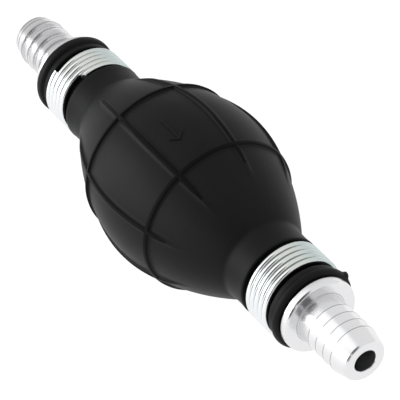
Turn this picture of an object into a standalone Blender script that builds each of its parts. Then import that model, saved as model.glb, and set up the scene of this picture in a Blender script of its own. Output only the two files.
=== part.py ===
"""Siphon bulb pump: a moulded rubber bulb with a barbed aluminium hose tail clamped in each neck.

Each tail carries a one-way valve cartridge, so squeezing the bulb moves liquid along +X. The bulb's
axis is X, its centre is the origin, the inlet tail points along -X and the outlet tail along +X.
The driving dimensions are in millimetres; the scene is in metres.
"""
from math import atan2, cos, hypot, pi, radians, sin

import bmesh
import bpy
from mathutils import Vector

MM = 0.001
GAP = 0.3                    # clearance between pieces that touch on the real pump

# Rubber bulb
BULB_RADIUS = 23.0           # belly, without its ribs
NECK_RADIUS = 11.2
BULB_HALF = 33.5             # centre of the bulb to the corner where a neck starts
BULB_FULLNESS = 0.9          # 1 is a plain cosine; less fills out the shoulders
BULB_WALL = 2.6
RUBBER_END = 55.1            # centre of the bulb to the end of each neck
RING_STATION = 13.7          # the two raised rings that run round the bulb
RIB_COUNT = 8
RIB_HALF_WIDTH = 1.0         # at the foot of a rib or ring
RIB_CREST = 0.45             # half width of its flat top
RIB_HEIGHT = 0.5
RIB_FULL = 22.0              # a lengthwise rib keeps its full height up to here
RIB_FADE = 28.5              # and has faded out here

# Groove for the clamp, and the lip that keeps the clamp on
GROOVE_START = 41.2
GROOVE_END = 51.2
GROOVE_RADIUS = 9.35
LIP_RADIUS = 11.1
CHAMBER_MOUTH = 6.2          # radius of the step that the tail's insert butts against
INSERT_STOP = 36.7

# Wire clamps
WIRE_DIAMETER = 1.55
WIRE_PITCH = 1.62
CLAMP_TURNS = 4.93
CLAMP_RADIUS = 10.5          # axis of the bulb to the centre of the wire
CLAMP_START = 42.2

# Hose tails
TAIL_END = 76.0              # centre of the bulb to the end face of a tail
TAIL_BORE = 3.0
FLANGE_BACK = 55.4
FLANGE_FRONT = 57.9
FLANGE_RADIUS = 10.1
SHANK_RADIUS = 6.3           # between the flange and the first barb
BARB_CREST = 6.7
BARB_ROOT = 6.15
BARB_FIRST = 62.1
BARB_PITCH = 3.0
BARB_COUNT = 4
NOSE_RADIUS = 5.7
NOSE_CHAMFER = 0.8
INSERT_END = 37.0
INSERT_RADIUS = 7.0
BEAD_RADIUS = 7.7            # bead at the insert's inner end that bites into the rubber
BEAD_END = 40.4
POCKET_RADIUS = 5.8          # pocket for the valve cartridge
POCKET_BOTTOM = 52.5

# Valve cartridge, in the direction of flow from its upstream face
CARTRIDGE_RADIUS = 5.5
SEAT_THICKNESS = 1.6
SEAT_RADIUS = 2.6
CHAMBER_RADIUS = 4.4
BODY_LENGTH = 8.6
CAGE_START = 8.9
CAGE_THICKNESS = 2.2
HUB_RADIUS = 2.2
GUIDE_RADIUS = 1.3
SPOKE_COUNT = 3
SPOKE_HALF_WIDTH = 0.7
WINDOW_OUTER = 4.3
HEAD_START = 2.8
HEAD_THICKNESS = 1.0
HEAD_RADIUS = 3.6
STEM_RADIUS = 1.0
STEM_END = 10.2
BUTTON_START = 0.9
BUTTON_END = 1.65
BUTTON_RADIUS = 2.2
BOSS_RADIUS = 1.5
SEAL_START = 1.85
SEAL_THICKNESS = 0.7
SEAL_INNER = 1.75
SEAL_OUTER = 3.5
SPRING_WIRE = 0.45
SPRING_RADIUS = 2.1
SPRING_TURNS = 3.5

# Gasket under the cartridge and the snap ring that holds it in its pocket
GASKET_THICKNESS = 1.0
GASKET_INNER = 3.6
SNAP_THICKNESS = 0.9
SNAP_INNER = 4.9
SNAP_OUTER = 6.1
SNAP_GROOVE = 6.4
SNAP_OPENING = 40.0          # degrees left open at the ring's ends

CARTRIDGE_LENGTH = CAGE_START + CAGE_THICKNESS
CARTRIDGE_OUTER_END = POCKET_BOTTOM - GASKET_THICKNESS - 2 * GAP   # distance from the centre
CARTRIDGE_INNER_END = CARTRIDGE_OUTER_END - CARTRIDGE_LENGTH
SNAP_START = CARTRIDGE_INNER_END - GAP - SNAP_THICKNESS


def clear_scene():
    for obj in list(bpy.data.objects):
        bpy.data.objects.remove(obj, do_unlink=True)


def make_collection(name):
    collection = bpy.data.collections.new(name)
    bpy.context.scene.collection.children.link(collection)
    return collection


def material(name, color, roughness, metallic=0.0):
    mat = bpy.data.materials.new(name)
    mat.use_nodes = True
    shader = mat.node_tree.nodes["Principled BSDF"]
    shader.inputs["Base Color"].default_value = (*color, 1.0)
    shader.inputs["Roughness"].default_value = roughness
    shader.inputs["Metallic"].default_value = metallic
    return mat


def add_object(name, data, mat):
    obj = bpy.data.objects.new(name, data)
    data.materials.append(mat)
    PARTS.objects.link(obj)
    return obj


def point_along_x(obj, station, toward=1):
    """Turn a piece made along Z onto the pump's axis, at a distance from the bulb's centre."""
    obj.rotation_euler = (0.0, toward * pi / 2, 0.0)
    obj.location = (station * MM, 0.0, 0.0)
    return obj


def turned(name, profile, mat, steps, closed=True):
    """A lathe piece from (height, radius) points, outer side first, from its top to its bottom."""
    mesh = bpy.data.meshes.new(name)
    points = [(radius * MM, 0.0, height * MM) for height, radius in profile]
    edges = [(i, i + 1) for i in range(len(points) - 1)]
    if closed:
        edges.append((len(points) - 1, 0))
    mesh.from_pydata(points, edges, [])
    obj = add_object(name, mesh, mat)
    screw = obj.modifiers.new("Lathe", "SCREW")
    screw.axis = "Z"
    screw.steps = steps
    screw.render_steps = steps
    screw.use_merge_vertices = True
    screw.merge_threshold = 0.00001
    screw.use_smooth_shade = False
    return obj


def wire(name, points, diameter, mat):
    """A round wire along a list of points, in millimetres, with closed ends."""
    curve = bpy.data.curves.new(name, "CURVE")
    curve.dimensions = "3D"
    spline = curve.splines.new("POLY")
    spline.points.add(len(points) - 1)
    for point, place in zip(spline.points, points):
        point.co = (*(value * MM for value in place), 1.0)
    curve.bevel_depth = diameter / 2 * MM
    curve.bevel_resolution = 2
    curve.use_fill_caps = True
    return add_object(name, curve, mat)


def helix(radius, turns, length, start_angle, per_turn, flat_ends=0.0):
    """Points along Z on a coil; flat_ends is how much of a turn is wound without rise at each end."""
    count = round(turns * per_turn)
    points = []
    for i in range(count + 1):
        turn = turns * i / count
        rise = min(max((turn - flat_ends) / (turns - 2 * flat_ends), 0.0), 1.0)
        angle = start_angle + 2 * pi * turn
        points.append((radius * cos(angle), radius * sin(angle), length * rise))
    return points


def plate(name, outlines, thickness, mat):
    """A flat piece lying on Z = 0 from closed outlines in millimetres; inner outlines are its holes."""
    curve = bpy.data.curves.new(name, "CURVE")
    curve.dimensions = "2D"
    curve.fill_mode = "BOTH"
    curve.extrude = thickness / 2 * MM
    for outline in outlines:
        spline = curve.splines.new("POLY")
        spline.points.add(len(outline) - 1)
        for point, (x, y) in zip(spline.points, outline):
            point.co = (x * MM, y * MM, 0.0, 1.0)
        spline.use_cyclic_u = True
    return add_object(name, curve, mat)


def arc(radius, start, end, steps):
    """Points on a circle's arc, angles in radians, both ends included."""
    angles = [start + (end - start) * i / steps for i in range(steps + 1)]
    return [(radius * cos(a), radius * sin(a)) for a in angles]


def circle(radius, steps):
    return arc(radius, 0.0, 2 * pi * (1 - 1 / steps), steps - 1)


def bulb_surface(station):
    """Outer radius of the plain bulb: a filled-out quarter cosine from the belly to each neck."""
    reach = max(cos(pi * station / (2 * BULB_HALF)), 0.0)
    return NECK_RADIUS + (BULB_RADIUS - NECK_RADIUS) * reach ** BULB_FULLNESS


def ridge(across):
    """Section of a rib or ring: flat crest and sloped sides."""
    side = (RIB_HALF_WIDTH - abs(across)) / (RIB_HALF_WIDTH - RIB_CREST)
    return RIB_HEIGHT * min(max(side, 0.0), 1.0)


def ring_height(station):
    return ridge(abs(station) - RING_STATION)


def rib_height(station, across):
    """A lengthwise rib fades out towards the necks."""
    fade = (RIB_FADE - abs(station)) / (RIB_FADE - RIB_FULL)
    return ridge(across) * min(max(fade, 0.0), 1.0)


def make_rubber_bulb(mat):
    """One hollow moulding: ribbed belly, two necks with a clamp groove and a lip, open at both ends."""
    half = []
    stations = [0, 4.5, 9]
    stations += [RING_STATION + offset for offset in (-RIB_HALF_WIDTH, -RIB_CREST, RIB_CREST, RIB_HALF_WIDTH)]
    stations += [18, RIB_FULL, RIB_FADE]
    for station in stations:
        half.append((station, bulb_surface(station) + ring_height(station)))
    half += [(BULB_HALF, NECK_RADIUS), (38.0, NECK_RADIUS - 0.2), (GROOVE_START, NECK_RADIUS)]
    half += [(GROOVE_START, GROOVE_RADIUS), (GROOVE_END, GROOVE_RADIUS)]
    half += [(GROOVE_END, LIP_RADIUS - 0.4), (GROOVE_END + 0.6, LIP_RADIUS)]
    half += [(RUBBER_END - 0.6, LIP_RADIUS), (RUBBER_END, LIP_RADIUS - 0.5)]
    bore = INSERT_RADIUS + GAP
    half += [(RUBBER_END, bore), (BEAD_END + 2 * GAP, bore)]
    half += [(BEAD_END + GAP, BEAD_RADIUS + GAP), (INSERT_STOP, BEAD_RADIUS + GAP)]
    half += [(INSERT_STOP, CHAMBER_MOUTH), (BULB_HALF + 1.0, CHAMBER_MOUTH)]
    for station in (29, 20, 10, 0):
        half.append((station, bulb_surface(station) - BULB_WALL))
    mirrored = [(-station, radius) for station, radius in reversed(half[1:-1])]
    loop = half + mirrored

    bm = bmesh.new()
    verts = [bm.verts.new((station * MM, 0.0, radius * MM)) for station, radius in loop]
    edges = [bm.edges.new((verts[i - 1], verts[i])) for i in range(len(verts))]
    steps = RIB_COUNT * len(SECTOR)
    bmesh.ops.spin(bm, geom=verts + edges, cent=(0, 0, 0), axis=(1, 0, 0), angle=2 * pi,
                   steps=steps, use_merge=True)
    for vert in bm.verts:
        shape_ribs(vert)
    bmesh.ops.recalc_face_normals(bm, faces=bm.faces)
    mesh = bpy.data.meshes.new("rubber_bulb")
    bm.to_mesh(mesh)
    bm.free()
    return add_object("rubber_bulb", mesh, mat)


# The points round one eighth of the bulb, starting at a rib: a number is a point's distance in
# millimetres from the middle of the rib, and the rest share the panel evenly.
SECTOR = (-RIB_HALF_WIDTH, -RIB_CREST, RIB_CREST, RIB_HALF_WIDTH, None, None, None, None)


def sector_angle(index, radius):
    """Angle of one of the sector's points from the middle of its rib, at a given radius."""
    pitch = 2 * pi / RIB_COUNT
    foot = RIB_HALF_WIDTH / radius
    if SECTOR[index] is not None:
        return SECTOR[index] / radius
    panel_steps = SECTOR.count(None) + 1
    return foot + (pitch - 2 * foot) * (index - SECTOR.index(None) + 1) / panel_steps


def shape_ribs(vert):
    """Gather the evenly spun points at the ribs, and raise the ribs from the belly."""
    station = vert.co.x / MM
    radius = hypot(vert.co.y, vert.co.z) / MM
    pitch = 2 * pi / RIB_COUNT
    spun = (atan2(vert.co.y, vert.co.z) / (2 * pi)) % 1.0
    step = round(spun * RIB_COUNT * len(SECTOR)) % (RIB_COUNT * len(SECTOR))
    sector, index = divmod(step, len(SECTOR))
    offset = sector_angle(index, bulb_surface(min(abs(station), BULB_HALF)))
    angle = (sector + 0.5) * pitch + offset
    on_belly = abs(station) < BULB_HALF and radius > bulb_surface(station) - BULB_WALL / 2
    if on_belly:
        across = offset * bulb_surface(station)
        radius = bulb_surface(station) + max(ring_height(station), rib_height(station, across))
    vert.co = Vector((station, radius * sin(angle), radius * cos(angle))) * MM


def make_hose_tail(end, toward, mat):
    """Turned aluminium tail: barbs for the hose, flange, and an insert bored out for the valve."""
    outer = [(TAIL_END, NOSE_RADIUS - NOSE_CHAMFER), (TAIL_END - NOSE_CHAMFER, NOSE_RADIUS)]
    for number in reversed(range(BARB_COUNT)):
        crest = BARB_FIRST + BARB_PITCH * number
        foot = BARB_ROOT if number > 0 else SHANK_RADIUS
        outer += [(crest, BARB_CREST), (crest - 0.1, foot)]
    edge = 0.4
    outer += [(FLANGE_FRONT, SHANK_RADIUS), (FLANGE_FRONT, FLANGE_RADIUS - edge)]
    outer += [(FLANGE_FRONT - edge, FLANGE_RADIUS), (FLANGE_BACK + edge, FLANGE_RADIUS)]
    outer += [(FLANGE_BACK, FLANGE_RADIUS - edge), (FLANGE_BACK, INSERT_RADIUS)]
    outer += [(BEAD_END + GAP, INSERT_RADIUS), (BEAD_END, BEAD_RADIUS)]
    outer += [(INSERT_END + 0.7, BEAD_RADIUS), (INSERT_END, INSERT_RADIUS)]
    groove_bottom = SNAP_START - GAP
    groove_top = SNAP_START + SNAP_THICKNESS + GAP
    inner = [(INSERT_END, POCKET_RADIUS), (groove_bottom, POCKET_RADIUS), (groove_bottom, SNAP_GROOVE)]
    inner += [(groove_top, SNAP_GROOVE), (groove_top, POCKET_RADIUS), (POCKET_BOTTOM, POCKET_RADIUS)]
    inner += [(POCKET_BOTTOM, TAIL_BORE), (TAIL_END, TAIL_BORE)]
    tail = turned(f"{end}_hose_tail", outer + inner, mat, steps=36)
    return point_along_x(tail, 0.0, toward)


def make_wire_clamp(end, toward, start_angle, mat):
    """Spring wire wound round the neck, five wires wide, its ends cut square."""
    length = WIRE_PITCH * CLAMP_TURNS
    points = helix(CLAMP_RADIUS, CLAMP_TURNS, length, start_angle, per_turn=20)
    coil = wire(f"{end}_wire_clamp", points, WIRE_DIAMETER, mat)
    return point_along_x(coil, toward * CLAMP_START, toward)


def make_valve_body(end, start, mat):
    """Cup of the cartridge: a seat round the inlet hole and a chamber that the poppet lifts in."""
    profile = [(BODY_LENGTH, CARTRIDGE_RADIUS), (0.4, CARTRIDGE_RADIUS), (0.0, CARTRIDGE_RADIUS - 0.4)]
    profile += [(0.0, SEAT_RADIUS + 0.5), (0.5, SEAT_RADIUS), (SEAT_THICKNESS, SEAT_RADIUS)]
    profile += [(SEAT_THICKNESS, CHAMBER_RADIUS), (BODY_LENGTH, CHAMBER_RADIUS)]
    body = turned(f"{end}_valve_body", profile, mat, steps=32)
    return point_along_x(body, start)


def make_poppet(end, start, mat):
    """Head, guide stem, and a button in front that holds the rubber seal on its boss."""
    head_end = HEAD_START + HEAD_THICKNESS
    profile = [(STEM_END, 0.0), (STEM_END, STEM_RADIUS - 0.3), (STEM_END - 0.4, STEM_RADIUS)]
    profile += [(head_end, STEM_RADIUS), (head_end, HEAD_RADIUS), (HEAD_START, HEAD_RADIUS)]
    profile += [(HEAD_START, BOSS_RADIUS), (BUTTON_END, BOSS_RADIUS), (BUTTON_END, BUTTON_RADIUS)]
    profile += [(BUTTON_START + 0.4, BUTTON_RADIUS), (BUTTON_START, BUTTON_RADIUS - 0.7)]
    profile += [(BUTTON_START, 0.0)]
    poppet = turned(f"{end}_valve_poppet", profile, mat, steps=24, closed=False)
    return point_along_x(poppet, start)


def make_washer(name, start, thickness, outer, inner, mat, steps=32):
    """A flat ring with softened outer edges."""
    edge = 0.15
    profile = [(thickness, outer - edge), (thickness - edge, outer), (edge, outer), (0.0, outer - edge)]
    profile += [(0.0, inner), (thickness, inner)]
    return point_along_x(turned(name, profile, mat, steps), start)


def make_valve_spring(end, start, mat):
    """Light compression spring between the poppet's head and the cage."""
    lower = HEAD_START + HEAD_THICKNESS + GAP / 2 + SPRING_WIRE / 2
    upper = CAGE_START - GAP / 2 - SPRING_WIRE / 2
    points = helix(SPRING_RADIUS, SPRING_TURNS, upper - lower, 0.0, per_turn=12, flat_ends=0.5)
    spring = wire(f"{end}_valve_spring", points, SPRING_WIRE, mat)
    return point_along_x(spring, start + lower)


def make_cage(end, start, mat):
    """Downstream plate of the cartridge: rim, three spokes, and a hub that guides the stem."""
    windows = []
    for number in range(SPOKE_COUNT):
        middle = 2 * pi * number / SPOKE_COUNT
        outer_half = pi / SPOKE_COUNT - SPOKE_HALF_WIDTH / WINDOW_OUTER
        inner_half = pi / SPOKE_COUNT - SPOKE_HALF_WIDTH / HUB_RADIUS
        window = arc(WINDOW_OUTER, middle - outer_half, middle + outer_half, 10)
        window += arc(HUB_RADIUS, middle + inner_half, middle - inner_half, 6)
        windows.append(window)
    outlines = [circle(CARTRIDGE_RADIUS, 32), circle(GUIDE_RADIUS, 16)] + windows
    cage = plate(f"{end}_valve_cage", outlines, CAGE_THICKNESS, mat)
    return point_along_x(cage, start + CAGE_START + CAGE_THICKNESS / 2)


def make_snap_ring(end, toward, mat):
    """Open ring of spring steel that sits in the pocket's groove and keeps the cartridge in."""
    half_opening = radians(SNAP_OPENING / 2)
    outline = arc(SNAP_OUTER, half_opening, 2 * pi - half_opening, 28)
    outline += arc(SNAP_INNER, 2 * pi - half_opening, half_opening, 28)
    ring = plate(f"{end}_snap_ring", [outline], SNAP_THICKNESS, mat)
    return point_along_x(ring, toward * (SNAP_START + SNAP_THICKNESS / 2))


def make_end(end, toward, clamp_angle):
    """Everything at one end of the bulb; the cartridge always opens along +X."""
    make_hose_tail(end, toward, ALUMINIUM)
    make_wire_clamp(end, toward, clamp_angle, ZINC_WIRE)
    start = CARTRIDGE_INNER_END if toward > 0 else -CARTRIDGE_OUTER_END
    make_valve_body(end, start, ACETAL)
    make_poppet(end, start, ACETAL)
    make_washer(f"{end}_poppet_seal", start + SEAL_START, SEAL_THICKNESS, SEAL_OUTER, SEAL_INNER,
                NITRILE, steps=24)
    make_valve_spring(end, start, STAINLESS)
    make_cage(end, start, ACETAL)
    gasket_middle = toward * (POCKET_BOTTOM - GAP - GASKET_THICKNESS / 2)
    make_washer(f"{end}_valve_gasket", gasket_middle - GASKET_THICKNESS / 2, GASKET_THICKNESS,
                POCKET_RADIUS - GAP, GASKET_INNER, NITRILE)
    make_snap_ring(end, toward, STAINLESS)


clear_scene()
PARTS = make_collection("siphon_bulb_pump")
RUBBER = material("black_rubber", (0.022, 0.022, 0.024), 0.5)
ALUMINIUM = material("turned_aluminium", (0.86, 0.86, 0.87), 0.22, metallic=1.0)
ZINC_WIRE = material("zinc_plated_wire", (0.78, 0.8, 0.8), 0.25, metallic=1.0)
ACETAL = material("white_acetal", (0.85, 0.84, 0.8), 0.4)
NITRILE = material("black_nitrile", (0.03, 0.03, 0.03), 0.6)
STAINLESS = material("stainless_spring", (0.7, 0.7, 0.7), 0.3, metallic=1.0)

make_rubber_bulb(RUBBER)
make_end("inlet", -1, clamp_angle=radians(-12.4))
make_end("outlet", 1, clamp_angle=radians(-12.0))
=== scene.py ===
from math import atan2, cos, exp, hypot, pi, radians, sin

import bmesh
import bpy
from mathutils import Matrix, Vector


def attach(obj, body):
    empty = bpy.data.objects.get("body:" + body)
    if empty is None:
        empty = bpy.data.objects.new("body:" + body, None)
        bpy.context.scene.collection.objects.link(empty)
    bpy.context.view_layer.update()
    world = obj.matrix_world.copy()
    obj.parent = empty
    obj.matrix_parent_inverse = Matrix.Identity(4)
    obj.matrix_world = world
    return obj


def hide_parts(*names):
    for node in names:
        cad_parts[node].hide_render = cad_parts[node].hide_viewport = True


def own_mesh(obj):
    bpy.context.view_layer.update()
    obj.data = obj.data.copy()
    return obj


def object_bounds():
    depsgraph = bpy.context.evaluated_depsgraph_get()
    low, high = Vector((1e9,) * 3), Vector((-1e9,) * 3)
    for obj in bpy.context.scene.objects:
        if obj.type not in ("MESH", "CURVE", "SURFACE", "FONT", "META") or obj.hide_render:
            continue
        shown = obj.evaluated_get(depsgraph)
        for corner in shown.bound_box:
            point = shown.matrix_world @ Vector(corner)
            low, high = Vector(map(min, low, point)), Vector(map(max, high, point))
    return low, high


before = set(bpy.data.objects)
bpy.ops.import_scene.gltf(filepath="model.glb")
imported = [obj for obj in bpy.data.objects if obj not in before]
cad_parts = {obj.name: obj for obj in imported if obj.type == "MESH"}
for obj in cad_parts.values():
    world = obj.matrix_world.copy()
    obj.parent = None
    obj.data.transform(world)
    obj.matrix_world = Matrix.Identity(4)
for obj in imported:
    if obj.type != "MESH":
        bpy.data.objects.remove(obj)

cad_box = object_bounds()
MM = 0.001


# Camera: a long lens from above the outlet end, turned a little about its own axis, so the pump lies
# across the frame from the upper left to the lower right.
AZIMUTH = radians(65.3)
ELEVATION = radians(44.3)
ROLL = radians(-12.0)
DISTANCE = 724.5 * MM
AIM = Vector((3.3, 0.8, -2.7)) * MM
back = Vector((sin(AZIMUTH) * cos(ELEVATION), -cos(AZIMUTH) * cos(ELEVATION), sin(ELEVATION)))
lens = bpy.data.cameras.new("camera")
lens.lens = 263.0
lens.sensor_width = 36.0
lens.clip_start = 0.02
lens.clip_end = 20.0
camera = bpy.data.objects.new("camera", lens)
turn = (-back).to_track_quat("-Z", "Y").to_matrix() @ Matrix.Rotation(ROLL, 3, "Z")
camera.matrix_world = Matrix.Translation(AIM + back * DISTANCE) @ turn.to_4x4()
bpy.context.scene.collection.objects.link(camera)
bpy.context.scene.camera = camera


# Studio: a white acrylic light table under the pump in a white room, a large soft box overhead and a
# wide, low one on the left that grazes the panels of the bulb. Black felt hangs on the side the camera
# stands on and a grey cloth beyond the inlet, so the metal has something dark to mirror.
FLOOR_HALF = 3.0
bpy.context.scene.view_settings.view_transform = "Standard"
world = bpy.data.worlds.new("surround")
world.use_nodes = True
world.node_tree.nodes["Background"].inputs["Color"].default_value = (1.0, 1.0, 1.0, 1.0)
world.node_tree.nodes["Background"].inputs["Strength"].default_value = 0.95
bpy.context.scene.world = world


def principled(name, color, roughness, metallic=0.0):
    """A new material and its Principled shader's node tree."""
    mat = bpy.data.materials.new(name)
    mat.use_nodes = True
    shader = mat.node_tree.nodes["Principled BSDF"]
    shader.inputs["Base Color"].default_value = (*color, 1.0)
    shader.inputs["Roughness"].default_value = roughness
    shader.inputs["Metallic"].default_value = metallic
    return mat, mat.node_tree, shader


def link_mesh(name, bm, mat, sharp=None):
    """A finished bmesh becomes an object at the origin; sharp is the angle above which edges stay crisp."""
    mesh = bpy.data.meshes.new(name)
    bm.to_mesh(mesh)
    bm.free()
    mesh.shade_smooth()
    if sharp is not None:
        mesh.set_sharp_from_angle(angle=radians(sharp))
    mesh.materials.append(mat)
    obj = bpy.data.objects.new(name, mesh)
    bpy.context.scene.collection.objects.link(obj)
    return obj


def soft_box(name, place, width, height, power):
    """A rectangular lamp that faces the pump; width, height and place in metres, power in watts."""
    light = bpy.data.lights.new(name, "AREA")
    light.shape = "RECTANGLE"
    light.size = width
    light.size_y = height
    light.energy = power
    obj = bpy.data.objects.new(name, light)
    obj.location = place
    obj.rotation_euler = (-Vector(place)).to_track_quat("-Z", "Y").to_euler()
    bpy.context.scene.collection.objects.link(obj)


def hang_cloth(name, shade, place, half_width, fade):
    """A white matt cloth with a round dyed patch, facing the pump, that the camera looks through. The
    patch fades into the white over its outer part, which is given as a share of its radius."""
    weave, tree, shader = principled(name, (shade, shade, shade), 1.0)
    shader.inputs["Specular IOR Level"].default_value = 0.0
    coords = tree.nodes.new("ShaderNodeTexCoord")
    span = tree.nodes.new("ShaderNodeVectorMath")
    span.operation = "DISTANCE"
    span.inputs[1].default_value = place
    tree.links.new(coords.outputs["Object"], span.inputs[0])
    edge = tree.nodes.new("ShaderNodeMapRange")
    edge.interpolation_type = "SMOOTHSTEP"
    edge.inputs["From Min"].default_value = half_width * (1 - fade)
    edge.inputs["From Max"].default_value = half_width
    tree.links.new(span.outputs["Value"], edge.inputs["Value"])
    dyed = tree.nodes.new("ShaderNodeMixRGB")
    dyed.inputs["Color1"].default_value = (shade, shade, shade, 1.0)
    dyed.inputs["Color2"].default_value = (0.95, 0.95, 0.95, 1.0)
    tree.links.new(edge.outputs["Result"], dyed.inputs["Fac"])
    tree.links.new(dyed.outputs["Color"], shader.inputs["Base Color"])
    bm = bmesh.new()
    facing = Matrix.Translation(place) @ place.to_track_quat("Z", "Y").to_matrix().to_4x4()
    bmesh.ops.create_grid(bm, x_segments=1, y_segments=1, size=half_width, matrix=facing)
    cloth = link_mesh(name, bm, weave)
    cloth.visible_camera = False


acrylic, tree, shader = principled("white_acrylic", (0.08, 0.08, 0.08), 0.7)
shader.inputs["Emission Color"].default_value = (1.0, 1.0, 1.0, 1.0)
shader.inputs["Emission Strength"].default_value = 0.98
bm = bmesh.new()
bmesh.ops.create_grid(bm, x_segments=1, y_segments=1, size=FLOOR_HALF,
                      matrix=Matrix.Translation((0, 0, cad_box[0].z)))
link_mesh("light_table", bm, acrylic)
hang_cloth("felt_drape", 0.01, back * 1.05, 0.45, fade=0.001)
hang_cloth("felt_wing", 0.01, Vector((0.68, -0.7, 0.22)), 0.26, fade=0.001)
hang_cloth("grey_cloth", 0.75, Vector((-0.27, 0.06, 0.075)), 0.24, fade=0.45)
soft_box("overhead_soft_box", (-0.35, -0.4, 1.0), 0.9, 0.9, 1.2)
soft_box("side_soft_box", (-0.6, -1.05, 0.45), 1.5, 0.8, 11.5)


# Rubber bulb: one hollow moulding in black rubber, 46 mm across the belly, with two raised rings, eight
# ribs that fade out before the necks, a groove in each neck for the clamp and a lip beyond it. The
# mould leaves a satin surface with a very fine grain.
BULB_RADIUS = 23.0
NECK_RADIUS = 11.2
BULB_HALF = 33.5
BULB_FULLNESS = 0.9
BULB_WALL = 2.6
RING_STATION = 13.7
RIB_COUNT = 8
RIB_HALF_WIDTH = 0.85
RIB_HEIGHT = 0.7
RIB_ENDS = {-1: (22.0, 31.0), 1: (14.0, 24.0)}   # where a rib starts to fade and where it is gone
LONG_RIB = (7, 2.5)          # the rib that runs on towards the outlet, and by how much
RIDGE_SHADE_SHARE = 0.45                  # above this share of its height a ridge gets the darker rubber of painted shade
RIB_POINTS = 12              # points across a rib and across the panel beside it
PANEL_POINTS = 16
ROUND_POINTS = 5             # points in the round of a corner
GROOVE = (40.9, 51.2, 9.35)  # start, end and radius of the clamp's groove
WAIST = (38.0, 10.95)        # the neck draws in a little behind the clamp: station and radius
SHOULDER_RADIUS = 10.6       # rubber that bulges beside the clamp, up to a crease
CREASE = 53.2
LIP_RADIUS = 11.2
RUBBER_END = 55.1
NECK_BORE = 7.3              # the tail's insert sits in this bore, and its bead in the recess
BEAD_RECESS = (36.7, 40.7, 8.0)
THROAT_RADIUS = 6.2
INLET_LAP = 0.9              # the inlet's lip laps over the edge of the flange this far
LAP_RADIUS = 10.35           # and is open inside this radius
FLASH = (67.0, 0.7, 0.8)     # scrap of flash on the outlet's lip: turn from +Z, height and reach


def smooth(t):
    """Rises from 0 to 1 with a level start and end."""
    t = min(max(t, 0.0), 1.0)
    return t * t * (3 - 2 * t)


def belly(station):
    """Radius of the plain bulb: a filled-out quarter cosine from the middle to each neck."""
    reach = max(cos(pi * station / (2 * BULB_HALF)), 0.0)
    return NECK_RADIUS + (BULB_RADIUS - NECK_RADIUS) * reach ** BULB_FULLNESS


def ridge(across):
    """Rounded section of a rib or a ring, with a small fillet at its foot."""
    return RIB_HEIGHT * smooth((1 - abs(across) / RIB_HALF_WIDTH) * 1.8)


def softened(outline):
    """Rounds the corners of a closed outline of (station, radius, reach of the round) points."""
    result = []
    for i, (x, r, reach) in enumerate(outline):
        if reach == 0:
            result.append((x, r))
            continue
        corner = Vector((x, r))
        before = Vector(outline[i - 1][:2]) - corner
        after = Vector(outline[(i + 1) % len(outline)][:2]) - corner
        start = corner + before.normalized() * min(reach, before.length / 2)
        end = corner + after.normalized() * min(reach, after.length / 2)
        for step in range(ROUND_POINTS):
            t = step / (ROUND_POINTS - 1)
            result.append(tuple(start.lerp(corner, t).lerp(corner.lerp(end, t), t)))
    return result


def lathe(outline, steps):
    """A bmesh turned about the X axis from a closed outline of (station, radius) points in millimetres."""
    bm = bmesh.new()
    verts = [bm.verts.new((x * MM, 0.0, r * MM)) for x, r in outline]
    edges = [bm.edges.new((verts[i - 1], verts[i])) for i in range(len(verts))]
    bmesh.ops.spin(bm, geom=verts + edges, cent=(0, 0, 0), axis=(1, 0, 0), angle=2 * pi,
                   steps=steps, use_merge=True)
    bmesh.ops.remove_doubles(bm, verts=bm.verts, dist=0.000001)
    bmesh.ops.recalc_face_normals(bm, faces=bm.faces)
    return bm


stations = {i * 0.6 for i in range(56)}
stations |= {RING_STATION + RIB_HALF_WIDTH * t / 7 for t in range(-8, 9)}
half = [(station, belly(station), 0) for station in sorted(stations) if station < BULB_HALF - 0.5]
half += [(BULB_HALF, NECK_RADIUS, 0.9), (*WAIST, 2.0), (GROOVE[0], NECK_RADIUS, 0.5)]
half += [(GROOVE[0], GROOVE[2], 0.2), (GROOVE[1], GROOVE[2], 0.2), (GROOVE[1], SHOULDER_RADIUS, 0.5)]
half += [(CREASE - 0.4, SHOULDER_RADIUS, 0.6), (CREASE, SHOULDER_RADIUS - 0.3, 0.1)]
half += [(CREASE + 0.2, LIP_RADIUS, 0.3), (RUBBER_END - 0.7, LIP_RADIUS, 0.5)]
half += [(RUBBER_END, LIP_RADIUS - 0.5, 0.3), (RUBBER_END, LAP_RADIUS, 0), (RUBBER_END, NECK_BORE, 0.2)]
half += [(BEAD_RECESS[1] + 0.3, NECK_BORE, 0.1), (BEAD_RECESS[1], BEAD_RECESS[2], 0.1)]
half += [(BEAD_RECESS[0], BEAD_RECESS[2], 0.1), (BEAD_RECESS[0], THROAT_RADIUS, 0.3)]
half += [(BULB_HALF + 1, THROAT_RADIUS, 0.5)]
half += [(station, belly(station) - BULB_WALL, 0) for station in (30, 27, 23, 19, 15, 11, 7, 3.5, 0)]
whole = half + [(-x, r, reach) for x, r, reach in reversed(half[1:-1])]
SECTOR_POINTS = RIB_POINTS + PANEL_POINTS
bm = lathe(softened(whole), RIB_COUNT * SECTOR_POINTS)
ridge_shade_verts = set()
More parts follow.
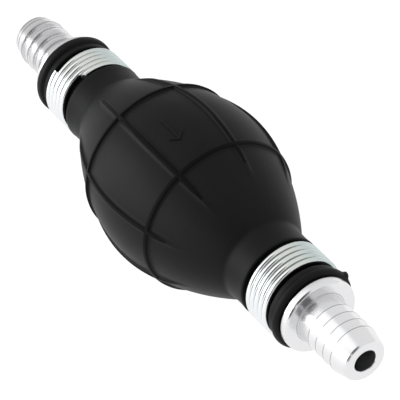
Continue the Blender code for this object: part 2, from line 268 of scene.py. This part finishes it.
for vert in bm.verts:
    station = vert.co.x / MM
    radius = hypot(vert.co.y, vert.co.z) / MM
    turn_share = (atan2(vert.co.y, vert.co.z) / (2 * pi)) % 1.0
    step = round(turn_share * RIB_COUNT * SECTOR_POINTS) % (RIB_COUNT * SECTOR_POINTS)
    sector, index = divmod(step, SECTOR_POINTS)
    surface = belly(min(abs(station), BULB_HALF))
    foot = RIB_HALF_WIDTH / surface
    pitch = 2 * pi / RIB_COUNT
    if index <= RIB_POINTS:
        offset = foot * (2 * index / RIB_POINTS - 1)
    else:
        offset = foot + (pitch - 2 * foot) * (index - RIB_POINTS) / PANEL_POINTS
    if abs(station) < BULB_HALF and radius > surface - BULB_WALL / 2:
        full, gone = RIB_ENDS[1 if station > 0 else -1]
        run_on = LONG_RIB[1] if station > 0 and sector == LONG_RIB[0] else 0
        fade = smooth((gone + run_on - abs(station)) / (gone - full))
        relief = max(ridge(offset * surface) * fade, ridge(abs(station) - RING_STATION))
        radius += relief
        # faces high on a ridge are marked for a darker, duller rubber: painted shade
        if relief > RIDGE_SHADE_SHARE * RIB_HEIGHT:
            ridge_shade_verts.add(vert)
    angle = (sector + 0.5) * pitch + offset
    if station > CREASE + 0.4 and radius > LIP_RADIUS - 1.1:
        radius += FLASH[1] * exp(-((radius * (angle - radians(FLASH[0])) / FLASH[2]) ** 2))
    if radius > LAP_RADIUS + 0.05:
        station -= INLET_LAP * smooth(-station - CREASE + 0.2)
    vert.co = Vector((station, radius * sin(angle), radius * cos(angle))) * MM


def black_rubber(name, tone, shine):
    """Moulded rubber: a very fine grain, and a gloss that drifts where the skin has been handled."""
    mat, tree, shader = principled(name, (tone, tone, tone * 1.06), 0.5)
    shader.inputs["Specular IOR Level"].default_value = shine
    nodes, links = tree.nodes, tree.links
    place = nodes.new("ShaderNodeTexCoord")
    grain = nodes.new("ShaderNodeTexNoise")
    grain.inputs["Scale"].default_value = 1300.0
    grain.inputs["Detail"].default_value = 4.0
    links.new(place.outputs["Object"], grain.inputs["Vector"])
    raise_grain = nodes.new("ShaderNodeBump")
    raise_grain.inputs["Strength"].default_value = 0.4
    raise_grain.inputs["Distance"].default_value = 0.00006
    links.new(grain.outputs["Fac"], raise_grain.inputs["Height"])
    links.new(raise_grain.outputs["Normal"], shader.inputs["Normal"])
    bloom = nodes.new("ShaderNodeTexNoise")
    bloom.inputs["Scale"].default_value = 55.0
    bloom.inputs["Detail"].default_value = 6.0
    links.new(place.outputs["Object"], bloom.inputs["Vector"])
    gloss = nodes.new("ShaderNodeMapRange")
    gloss.inputs["To Min"].default_value = 0.42
    gloss.inputs["To Max"].default_value = 0.56
    links.new(bloom.outputs["Fac"], gloss.inputs["Value"])
    links.new(gloss.outputs["Result"], shader.inputs["Roughness"])
    return mat


rubber = black_rubber("moulded_black_rubber", 0.0045, 0.12)
# the ridges' rubber is darker and less glossy: painted shade, so the rings and ribs read as dark lines
ridge_shade_rubber = black_rubber("black_rubber_painted_ridge_shade", 0.003, 0.055)
for face in bm.faces:
    if ridge_shade_verts.issuperset(face.verts):
        face.material_index = 1
bulb = link_mesh("rubber_bulb_skin", bm, rubber, sharp=50)
bulb.data.materials.append(ridge_shade_rubber)
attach(bulb, "pump")
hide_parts("rubber_bulb")


# Flow mark: a slim arrow moulded on top of the bulb, between two ribs, pointing at the outlet.
ARROW_FROM = (-2.1, 0.0)     # station and arc length from the middle of its panel, in millimetres
ARROW_TIP = (5.9, 0.0)
ARROW_HEAD = 2.3
ARROW_WIDTH = 0.6
ARROW_HEIGHT = 0.28
ARROW_TURN = radians(96.0)   # from +Y towards +Z

bm = bmesh.new()
barb_ends = [(ARROW_TIP[0] - ARROW_HEAD * 0.64, side * ARROW_HEAD * 0.77) for side in (-1, 1)]
for start, end in [(ARROW_FROM, ARROW_TIP)] + [(corner, ARROW_TIP) for corner in barb_ends]:
    length = hypot(end[0] - start[0], end[1] - start[1])
    lean = atan2(end[1] - start[1], end[0] - start[0])
    bar = bmesh.ops.create_cube(bm, size=1.0)["verts"]
    bmesh.ops.scale(bm, verts=bar, vec=(length + ARROW_WIDTH * 0.8, ARROW_WIDTH, ARROW_HEIGHT * 2))
    bmesh.ops.rotate(bm, verts=bar, cent=(0, 0, 0), matrix=Matrix.Rotation(lean, 3, "Z"))
    bmesh.ops.translate(bm, verts=bar, vec=((start[0] + end[0]) / 2, (start[1] + end[1]) / 2, 0))
bmesh.ops.subdivide_edges(bm, edges=[e for e in bm.edges if e.calc_length() > 1.2], cuts=7)
bmesh.ops.bevel(bm, geom=bm.edges[:], offset=0.07, segments=2, profile=0.5, affect="EDGES", material=-1,
                clamp_overlap=True)
for vert in bm.verts:
    station, across, height = vert.co
    radius = belly(abs(station)) + height
    turn_angle = ARROW_TURN - across / radius
    vert.co = Vector((station, radius * cos(turn_angle), radius * sin(turn_angle))) * MM
arrow = link_mesh("flow_mark", bm, rubber, sharp=40)
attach(arrow, "pump")


# Hose tails: turned from aluminium bar. Four barbs hold the hose, a flange stops it, and a plain insert
# with a bead at its inner end is clamped in the rubber neck. The tool leaves fine rings all over.
TAIL_END = 76.0
TAIL_BORE = 3.0
FLANGE = (55.4, 57.9, 10.1)  # back, front and radius
SHANK_RADIUS = 6.3
BARB_CREST = 6.7
BARB_ROOT = 6.15
BARB_FIRST = 62.1
BARB_PITCH = 3.0
BARB_COUNT = 4
NOSE_RADIUS = 5.7
NOSE_CHAMFER = 0.45
INSERT = (37.0, 7.0)         # inner end and radius of the insert
BEAD = (37.7, 40.4, 7.7)
POCKET = (52.5, 5.8)         # end and radius of the pocket for the valve cartridge
SNAP_GROOVE = (38.3, 39.8, 6.4)
BRIGHT_ALUMINIUM = (0.75, 0.75, 0.76)
# colour of a dark line painted beside each barb's crest: painted shade, for its shaded edge and the hidden
# root behind it
CREST_PAINTED_SHADE = (0.34, 0.34, 0.35)
CREST_SHADE_SPAN = (0.16, 0.3)           # the painted shade line beside a barb's crest ends over this stretch

aluminium, tree, shader = principled("turned_aluminium", BRIGHT_ALUMINIUM, 0.2, metallic=1.0)
nodes, links = tree.nodes, tree.links
place = nodes.new("ShaderNodeTexCoord")
axes = nodes.new("ShaderNodeSeparateXYZ")
links.new(place.outputs["Object"], axes.inputs["Vector"])
across = nodes.new("ShaderNodeCombineXYZ")
links.new(axes.outputs["Y"], across.inputs["Y"])
links.new(axes.outputs["Z"], across.inputs["Z"])
reach = nodes.new("ShaderNodeVectorMath")
reach.operation = "LENGTH"
links.new(across.outputs["Vector"], reach.inputs[0])
path = nodes.new("ShaderNodeMath")       # how far the tool has come, along the tail and out over a face
path.operation = "ADD"
links.new(axes.outputs["X"], path.inputs[0])
links.new(reach.outputs["Value"], path.inputs[1])
tool = nodes.new("ShaderNodeTexNoise")
tool.noise_dimensions = "1D"
tool.inputs["Scale"].default_value = 5200.0
tool.inputs["Detail"].default_value = 3.0
links.new(path.outputs["Value"], tool.inputs["W"])
rings = nodes.new("ShaderNodeBump")
rings.inputs["Strength"].default_value = 0.5
rings.inputs["Distance"].default_value = 0.00003
links.new(tool.outputs["Fac"], rings.inputs["Height"])
links.new(rings.outputs["Normal"], shader.inputs["Normal"])
round_axis = nodes.new("ShaderNodeTangent")
round_axis.direction_type = "RADIAL"
round_axis.axis = "X"
links.new(round_axis.outputs["Tangent"], shader.inputs["Tangent"])
shader.inputs["Anisotropic"].default_value = 0.8
shader.inputs["Anisotropic Rotation"].default_value = 0.25
along = nodes.new("ShaderNodeMath")
along.operation = "ABSOLUTE"
links.new(axes.outputs["X"], along.inputs[0])
barbs = nodes.new("ShaderNodeMath")
barbs.operation = "WRAP"     # the same stretch of barb again and again
barbs.inputs[1].default_value = (BARB_FIRST + BARB_PITCH) * MM
barbs.inputs[2].default_value = BARB_FIRST * MM
links.new(along.outputs["Value"], barbs.inputs[0])
# painted shade: a dark line just past each barb's crest, on the barbed stretch only
crest_shade = nodes.new("ShaderNodeMapRange")
crest_shade.inputs["From Min"].default_value = (BARB_FIRST + CREST_SHADE_SPAN[0]) * MM
crest_shade.inputs["From Max"].default_value = (BARB_FIRST + CREST_SHADE_SPAN[1]) * MM
links.new(barbs.outputs["Value"], crest_shade.inputs["Value"])
barbed = nodes.new("ShaderNodeMath")     # 1 on the stretch that has barbs
barbed.operation = "COMPARE"
barbed.inputs[1].default_value = (BARB_FIRST + BARB_PITCH * (BARB_COUNT - 1) / 2) * MM
barbed.inputs[2].default_value = (BARB_PITCH * (BARB_COUNT - 1) / 2 + 0.4) * MM
links.new(along.outputs["Value"], barbed.inputs[0])
plain = nodes.new("ShaderNodeMath")
plain.operation = "SUBTRACT"
plain.inputs[0].default_value = 1.0
links.new(barbed.outputs["Value"], plain.inputs[1])
crest_unshaded = nodes.new("ShaderNodeMath")
crest_unshaded.operation = "MAXIMUM"
links.new(crest_shade.outputs["Result"], crest_unshaded.inputs[0])
links.new(plain.outputs["Value"], crest_unshaded.inputs[1])
tone = nodes.new("ShaderNodeMixRGB")
tone.inputs["Color1"].default_value = (*CREST_PAINTED_SHADE, 1.0)
tone.inputs["Color2"].default_value = (*BRIGHT_ALUMINIUM, 1.0)
links.new(crest_unshaded.outputs["Value"], tone.inputs["Fac"])
inlet_ring_noise = nodes.new("ShaderNodeTexNoise")      # painted shade: fine darker rings at random along the inlet tail only, for the shaded rings of its barbs
inlet_ring_noise.noise_dimensions = "1D"
inlet_ring_noise.inputs["Scale"].default_value = 1500.0
inlet_ring_noise.inputs["Detail"].default_value = 2.0
links.new(axes.outputs["X"], inlet_ring_noise.inputs["W"])
inlet_ring_depth = nodes.new("ShaderNodeMapRange")
inlet_ring_depth.inputs["From Min"].default_value = 0.36
inlet_ring_depth.inputs["From Max"].default_value = 0.5
inlet_ring_depth.inputs["To Min"].default_value = 0.55
inlet_ring_depth.inputs["To Max"].default_value = 1.0
links.new(inlet_ring_noise.outputs["Fac"], inlet_ring_depth.inputs["Value"])
inlet_side = nodes.new("ShaderNodeMath")
inlet_side.operation = "GREATER_THAN"
inlet_side.inputs[1].default_value = 0.0
links.new(axes.outputs["X"], inlet_side.inputs[0])
inlet_ring_shade = nodes.new("ShaderNodeMath")
inlet_ring_shade.operation = "MAXIMUM"
links.new(inlet_ring_depth.outputs["Result"], inlet_ring_shade.inputs[0])
links.new(inlet_side.outputs["Value"], inlet_ring_shade.inputs[1])
# the painted ring shade mixes the metal's colour towards black
cut = nodes.new("ShaderNodeMixRGB")
cut.inputs["Color1"].default_value = (0.0, 0.0, 0.0, 1.0)
links.new(inlet_ring_shade.outputs["Value"], cut.inputs["Fac"])
links.new(tone.outputs["Color"], cut.inputs["Color2"])
links.new(cut.outputs["Color"], shader.inputs["Base Color"])
polish = nodes.new("ShaderNodeMapRange")
polish.inputs["To Min"].default_value = 0.15
polish.inputs["To Max"].default_value = 0.28
links.new(tool.outputs["Fac"], polish.inputs["Value"])
links.new(polish.outputs["Result"], shader.inputs["Roughness"])

for end, toward in (("inlet", -1), ("outlet", 1)):
    outline = [(TAIL_END, TAIL_BORE + 0.15, 0), (TAIL_END, NOSE_RADIUS - NOSE_CHAMFER, 0.1)]
    outline += [(TAIL_END - NOSE_CHAMFER, NOSE_RADIUS, 0.15)]
    for number in reversed(range(BARB_COUNT)):
        crest = BARB_FIRST + BARB_PITCH * number
        root = BARB_ROOT if number > 0 else SHANK_RADIUS
        outline += [(crest, BARB_CREST, 0.06), (crest - 0.12, root, 0.1)]
    outline += [(FLANGE[1] + 0.25, SHANK_RADIUS + 0.3, 0.1), (FLANGE[1] - 0.15, SHANK_RADIUS + 0.1, 0.1)]
    outline += [(FLANGE[1] - 0.15, SHANK_RADIUS + 0.5, 0.1), (FLANGE[1], SHANK_RADIUS + 0.7, 0.1)]
    outline += [(FLANGE[1], FLANGE[2] - 0.5, 0.1)]
    outline += [(FLANGE[1] - 0.5, FLANGE[2], 0.2), (FLANGE[0] + 0.3, FLANGE[2], 0.2)]
    outline += [(FLANGE[0], FLANGE[2] - 0.3, 0.1), (FLANGE[0], INSERT[1], 0.2)]
    outline += [(BEAD[1] + 0.3, INSERT[1], 0.2), (BEAD[1], BEAD[2], 0.1), (BEAD[0], BEAD[2], 0.2)]
    outline += [(*INSERT, 0.1), (INSERT[0], POCKET[1], 0)]
    outline += [(SNAP_GROOVE[0], POCKET[1], 0), (SNAP_GROOVE[0], SNAP_GROOVE[2], 0)]
    outline += [(SNAP_GROOVE[1], SNAP_GROOVE[2], 0), (SNAP_GROOVE[1], POCKET[1], 0)]
    outline += [(*POCKET, 0.1), (POCKET[0], TAIL_BORE, 0.1), (TAIL_END - 0.15, TAIL_BORE, 0)]
    bm = lathe([(x * toward, r) for x, r in softened(outline)], 160)
    tail = link_mesh(f"{end}_turned_tail", bm, aluminium, sharp=30)
    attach(tail, "pump")
    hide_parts(f"{end}_hose_tail")


# Wire clamps: zinc-plated spring wire, about 1.5 mm thick, wound five wires wide and sprung over the
# neck. The ends are cut square, the plating has a faint blue and straw tint, and its colour is painted
# darker towards +Y, away from the soft boxes: painted shade.
WIRE_RADIUS = 0.74
CLAMP_TURNS = 4.93
STEPS_PER_TURN = 110
CLAMP_RADIUS = 10.5
END_BEND = 0.9               # the end next to the bulb is kinked towards it, at this radius
END_TURN = radians(55.0)

zinc, tree, shader = principled("bright_zinc_plate", (0.7, 0.73, 0.73), 0.21, metallic=1.0)
nodes, links = tree.nodes, tree.links
place = nodes.new("ShaderNodeTexCoord")
cloud = nodes.new("ShaderNodeTexNoise")
cloud.inputs["Scale"].default_value = 160.0
cloud.inputs["Detail"].default_value = 3.0
links.new(place.outputs["Object"], cloud.inputs["Vector"])
axes = nodes.new("ShaderNodeSeparateXYZ")
links.new(place.outputs["Object"], axes.inputs["Vector"])
# painted shade: the coil's colour runs darker towards +Y, away from the soft boxes
side = nodes.new("ShaderNodeMapRange")
side.inputs["From Min"].default_value = -CLAMP_RADIUS * MM
side.inputs["From Max"].default_value = CLAMP_RADIUS * MM
links.new(axes.outputs["Y"], side.inputs["Value"])
tint_and_shade = nodes.new("ShaderNodeMath")
tint_and_shade.operation = "MULTIPLY_ADD"     # the plating's tint, with painted shade that darkens it towards +Y, and a little cloud in it
tint_and_shade.inputs[1].default_value = 0.3
links.new(cloud.outputs["Fac"], tint_and_shade.inputs[0])
links.new(side.outputs["Result"], tint_and_shade.inputs[2])
tint_and_shade_ramp = nodes.new("ShaderNodeValToRGB")
tint_and_shade_ramp.color_ramp.elements[0].position = 0.25
tint_and_shade_ramp.color_ramp.elements[0].color = (0.8, 0.82, 0.83, 1.0)
tint_and_shade_ramp.color_ramp.elements[1].position = 1.05
tint_and_shade_ramp.color_ramp.elements[1].color = (0.5, 0.57, 0.56, 1.0)
middle = tint_and_shade_ramp.color_ramp.elements.new(0.7)
middle.color = (0.68, 0.7, 0.67, 1.0)
links.new(tint_and_shade.outputs["Value"], tint_and_shade_ramp.inputs["Fac"])
links.new(tint_and_shade_ramp.outputs["Color"], shader.inputs["Base Color"])

# Each clamp: its end, the way out from the bulb, the first wire's station, its pitch and its start
for end, toward, first, pitch, start_angle in (("inlet", -1, 42.45, 1.63, 12.4),
                                               ("outlet", 1, 41.75, 1.7, -192.0)):
    bm = bmesh.new()
    bmesh.ops.create_circle(bm, cap_ends=True, segments=20, radius=WIRE_RADIUS * MM)
    bmesh.ops.rotate(bm, verts=bm.verts, cent=(0, 0, 0), matrix=Matrix.Rotation(pi / 2, 3, "X"))
    bmesh.ops.translate(bm, verts=bm.verts, vec=(first * toward * MM, 0, CLAMP_RADIUS * MM))
    bend = (toward * (first - END_BEND) * MM, 0, 0)
    bmesh.ops.rotate(bm, verts=bm.verts, cent=bend, matrix=Matrix.Rotation(END_TURN, 3, "Z"))
    tip = bmesh.ops.spin(bm, geom=bm.verts[:] + bm.edges[:] + bm.faces[:], cent=bend, axis=(0, 0, 1),
                         angle=-END_TURN, steps=8)
    steps = round(CLAMP_TURNS * STEPS_PER_TURN)
    rise = toward * pitch * CLAMP_TURNS * MM / steps
    start = Matrix.Rotation(radians(start_angle), 3, "X")
    bmesh.ops.rotate(bm, verts=bm.verts, cent=(0, 0, 0), matrix=start)
    bmesh.ops.spin(bm, geom=tip["geom_last"], cent=(0, 0, 0), axis=(1, 0, 0),
                   dvec=(rise, 0, 0), angle=toward * 2 * pi * CLAMP_TURNS, steps=steps)
    bmesh.ops.recalc_face_normals(bm, faces=bm.faces)
    clamp = link_mesh(f"{end}_clamp_wire", bm, zinc, sharp=50)
    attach(clamp, "pump")
    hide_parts(f"{end}_wire_clamp")


# Valve cartridges: one in the pocket of each tail, out of sight unless you look up the bore. The body,
# the poppet and the cage are moulded in white acetal, the seal and the gasket are nitrile rubber, and
# the snap ring is stamped from spring steel. In the valve the light coil spring shortens as the poppet
# lifts; here it is built at one length.
CARTRIDGE_START = {"inlet": -50.9, "outlet": 39.8}
SPRING_WIRE = 0.45
SPRING_RADIUS = 2.1
SPRING_TURNS = 3.5
SPRING_LOW = 4.18            # from the cartridge's upstream face to the first and the last wire
SPRING_HIGH = 8.52


def grained(name, color, roughness, metallic, scale, relief):
    """A material with a fine grain in its relief and its gloss."""
    mat, tree, shader = principled(name, color, roughness, metallic)
    place = tree.nodes.new("ShaderNodeTexCoord")
    grain = tree.nodes.new("ShaderNodeTexNoise")
    grain.inputs["Scale"].default_value = scale
    grain.inputs["Detail"].default_value = 4.0
    tree.links.new(place.outputs["Object"], grain.inputs["Vector"])
    raised = tree.nodes.new("ShaderNodeBump")
    raised.inputs["Strength"].default_value = 0.3
    raised.inputs["Distance"].default_value = relief * MM
    tree.links.new(grain.outputs["Fac"], raised.inputs["Height"])
    tree.links.new(raised.outputs["Normal"], shader.inputs["Normal"])
    gloss = tree.nodes.new("ShaderNodeMapRange")
    gloss.inputs["To Min"].default_value = roughness - 0.08
    gloss.inputs["To Max"].default_value = roughness + 0.08
    tree.links.new(grain.outputs["Fac"], gloss.inputs["Value"])
    tree.links.new(gloss.outputs["Result"], shader.inputs["Roughness"])
    return mat


acetal = grained("white_acetal", (0.8, 0.79, 0.75), 0.38, 0.0, 900.0, 0.02)
nitrile = grained("black_nitrile", (0.02, 0.02, 0.02), 0.6, 0.0, 2000.0, 0.03)
stainless = grained("spring_steel_wire", (0.62, 0.62, 0.63), 0.28, 1.0, 3000.0, 0.01)
CARTRIDGE = {"valve_body": acetal, "valve_poppet": acetal, "valve_cage": acetal,
             "poppet_seal": nitrile, "valve_gasket": nitrile, "snap_ring": stainless}

for end, start in CARTRIDGE_START.items():
    for piece, mat in CARTRIDGE.items():
        for material_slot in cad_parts[f"{end}_{piece}"].material_slots:
            material_slot.material = mat
    bm = bmesh.new()
    bmesh.ops.create_circle(bm, cap_ends=True, segments=12, radius=SPRING_WIRE / 2 * MM)
    bmesh.ops.rotate(bm, verts=bm.verts, cent=(0, 0, 0), matrix=Matrix.Rotation(pi / 2, 3, "X"))
    bmesh.ops.translate(bm, verts=bm.verts, vec=((start + SPRING_LOW) * MM, 0, SPRING_RADIUS * MM))
    section = bm.verts[:] + bm.edges[:] + bm.faces[:]
    for turns, rise in ((0.5, 0.0), (SPRING_TURNS - 1, SPRING_HIGH - SPRING_LOW), (0.5, 0.0)):
        steps = round(turns * 32)
        made = bmesh.ops.spin(bm, geom=section, cent=(0, 0, 0), axis=(1, 0, 0),
                              dvec=(rise * MM / steps, 0, 0), angle=2 * pi * turns, steps=steps)
        section = made["geom_last"]
    bmesh.ops.recalc_face_normals(bm, faces=bm.faces)
    spring = link_mesh(f"{end}_coil_spring", bm, stainless, sharp=50)
    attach(spring, "pump")
    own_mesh(spring)
    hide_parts(f"{end}_valve_spring")
